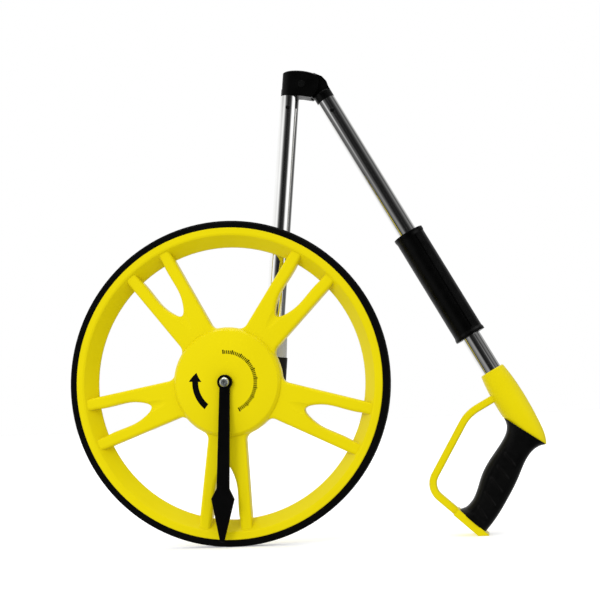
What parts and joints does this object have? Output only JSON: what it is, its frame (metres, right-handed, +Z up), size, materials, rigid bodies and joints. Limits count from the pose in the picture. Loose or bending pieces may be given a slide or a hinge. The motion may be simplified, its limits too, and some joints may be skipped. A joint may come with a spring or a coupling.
{
  "type": "measuring wheel",
  "caption": "Folding measuring wheel: forked-spoke wheel with rubber tyre, swinging pointer, hinged tubular handle with sliding sleeve and pistol grip, stood folded.",
  "frame": {"origin": "centre of the bounding box's footprint, on the floor that the tyre and the heel stand on", "axes": "+X from the wheel towards the handle, +Y back along the axle from the pointer's side to the counter's side, +Z up"},
  "size_m": [0.4634, 0.0856, 0.4717],
  "materials": {
    "yellow_plastic": "smooth moulded, semi-gloss",
    "tyre_rubber": "matt black rubber",
    "grip_rubber": "matt soft rubber",
    "black_plastic": "satin black",
    "case_plastic": "fine grained black",
    "grey_plastic": "satin light grey",
    "chrome_tube": "polished bright",
    "pointer_black": "satin black paint",
    "button_steel": "bright",
    "steel": "bright",
    "black_steel": "blackened",
    "spacer_aluminium": "turned",
    "gear_plastic": "natural white",
    "digit_plastic": "white",
    "clear_lens": "clear"
  },
  "bodies": {
    "carrier": {"axle": "steel", "axle_washer": "steel", "pointer_screw": "button_steel", "axle_front_spacer": "steel", "axle_inner_spacer": "steel", "axle_rear_spacer": "steel", "front_bearing_inner": "steel", "rear_bearing_inner": "steel", "counter_case": "case_plastic", "counter_cover": "case_plastic", "cover_screws": "steel", "window_lens": "clear_lens", "number_shaft": "steel", "pinion_shaft": "steel", "reset_lever_pin": "steel", "reset_spring": "steel", "tube_collar": "grey_plastic", "collar_screw": "steel", "lower_tube": "chrome_tube", "lower_tube_rivet": "black_steel", "lower_hinge": "black_plastic", "hinge_pin": "black_steel"},
    "wheel": {"spoke_wheel": "yellow_plastic", "tyre": "tyre_rubber", "front_bearing_outer": "steel", "rear_bearing_outer": "steel", "front_bearing_balls": "steel", "rear_bearing_balls": "steel", "bearing_spacer": "spacer_aluminium", "drive_gear": "gear_plastic"},
    "pointer": {"pointer": "pointer_black"},
    "arm": {"upper_hinge": "black_plastic", "upper_tube": "chrome_tube", "upper_tube_rivet": "black_steel", "handle_frame": "yellow_plastic", "rubber_grip": "grip_rubber", "handle_screw": "steel"},
    "sleeve": {"lock_sleeve": "black_plastic", "sleeve_rings": "grip_rubber"},
    "reset_lever": {"reset_lever": "case_plastic"},
    "digit_1": {"counter_gear": "gear_plastic", "number_wheel_1": "digit_plastic"},
    "digit_2": {"number_wheel_2": "digit_plastic"},
    "pinion_1": {"transfer_pinion_1": "gear_plastic"},
    "digit_3": {"number_wheel_3": "digit_plastic"},
    "pinion_2": {"transfer_pinion_2": "gear_plastic"},
    "digit_4": {"number_wheel_4": "digit_plastic"},
    "pinion_3": {"transfer_pinion_3": "gear_plastic"},
    "digit_5": {"number_wheel_5": "digit_plastic"},
    "pinion_4": {"transfer_pinion_4": "gear_plastic"}
  },
  "joints": [
    {"name": "wheel_spin", "type": "hinge", "parent": "carrier", "child": "wheel", "pos_m": [-0.07249, -0.01925, 0.15915], "axis": [0, -1, 0], "continuous": true},
    {"name": "pointer_swing", "type": "hinge", "parent": "carrier", "child": "pointer", "pos_m": [-0.07249, -0.03825, 0.15915], "axis": [0, -1, 0], "continuous": true},
    {"name": "fold_hinge", "type": "hinge", "parent": "carrier", "child": "arm", "pos_m": [0.01055, 0.01475, 0.457], "axis": [0, -1, 0], "range_deg": [0, 145.5]},
    {"name": "sleeve_slide", "type": "slide", "parent": "arm", "child": "sleeve", "axis": [-0.4701, 0, 0.8826], "range_m": [-0.0385, 0.158]},
    {"name": "reset_press", "type": "hinge", "parent": "carrier", "child": "reset_lever", "pos_m": [-0.09788, 0.01575, 0.16606], "axis": [0, -1, 0], "range_deg": [0, 14], "stiffness_Nm_per_rad": 0.02, "springref_deg": -8.59},
    {"name": "digit_1_spin", "type": "hinge", "parent": "carrier", "child": "digit_1", "pos_m": [-0.06961, 0.00575, 0.18459], "axis": [0, -1, 0], "continuous": true},
    {"name": "digit_2_spin", "type": "hinge", "parent": "carrier", "child": "digit_2", "pos_m": [-0.06961, 0.01235, 0.18459], "axis": [0, -1, 0], "continuous": true},
    {"name": "pinion_1_spin", "type": "hinge", "parent": "carrier", "child": "pinion_1", "pos_m": [-0.08191, 0.0104, 0.18599], "axis": [0, -1, 0], "continuous": true},
    {"name": "digit_3_spin", "type": "hinge", "parent": "carrier", "child": "digit_3", "pos_m": [-0.06961, 0.01805, 0.18459], "axis": [0, -1, 0], "continuous": true},
    {"name": "pinion_2_spin", "type": "hinge", "parent": "carrier", "child": "pinion_2", "pos_m": [-0.08191, 0.0161, 0.18599], "axis": [0, -1, 0], "continuous": true},
    {"name": "digit_4_spin", "type": "hinge", "parent": "carrier", "child": "digit_4", "pos_m": [-0.06961, 0.02375, 0.18459], "axis": [0, -1, 0], "continuous": true},
    {"name": "pinion_3_spin", "type": "hinge", "parent": "carrier", "child": "pinion_3", "pos_m": [-0.08191, 0.0218, 0.18599], "axis": [0, -1, 0], "continuous": true},
    {"name": "digit_5_spin", "type": "hinge", "parent": "carrier", "child": "digit_5", "pos_m": [-0.06961, 0.02945, 0.18459], "axis": [0, -1, 0], "continuous": true},
    {"name": "pinion_4_spin", "type": "hinge", "parent": "carrier", "child": "pinion_4", "pos_m": [-0.08191, 0.0275, 0.18599], "axis": [0, -1, 0], "continuous": true}
  ],
  "couplings": [
    {"joint": "digit_1_spin", "follows": "wheel_spin", "ratio": -1},
    {"joint": "digit_2_spin", "follows": "wheel_spin", "ratio": -0.1},
    {"joint": "pinion_1_spin", "follows": "wheel_spin", "ratio": 0.26667},
    {"joint": "digit_3_spin", "follows": "wheel_spin", "ratio": -0.01},
    {"joint": "pinion_2_spin", "follows": "wheel_spin", "ratio": 0.026667},
    {"joint": "digit_4_spin", "follows": "wheel_spin", "ratio": -0.001},
    {"joint": "pinion_3_spin", "follows": "wheel_spin", "ratio": 0.0026667},
    {"joint": "digit_5_spin", "follows": "wheel_spin", "ratio": -0.0001},
    {"joint": "pinion_4_spin", "follows": "wheel_spin", "ratio": 0.00026667}
  ]
}
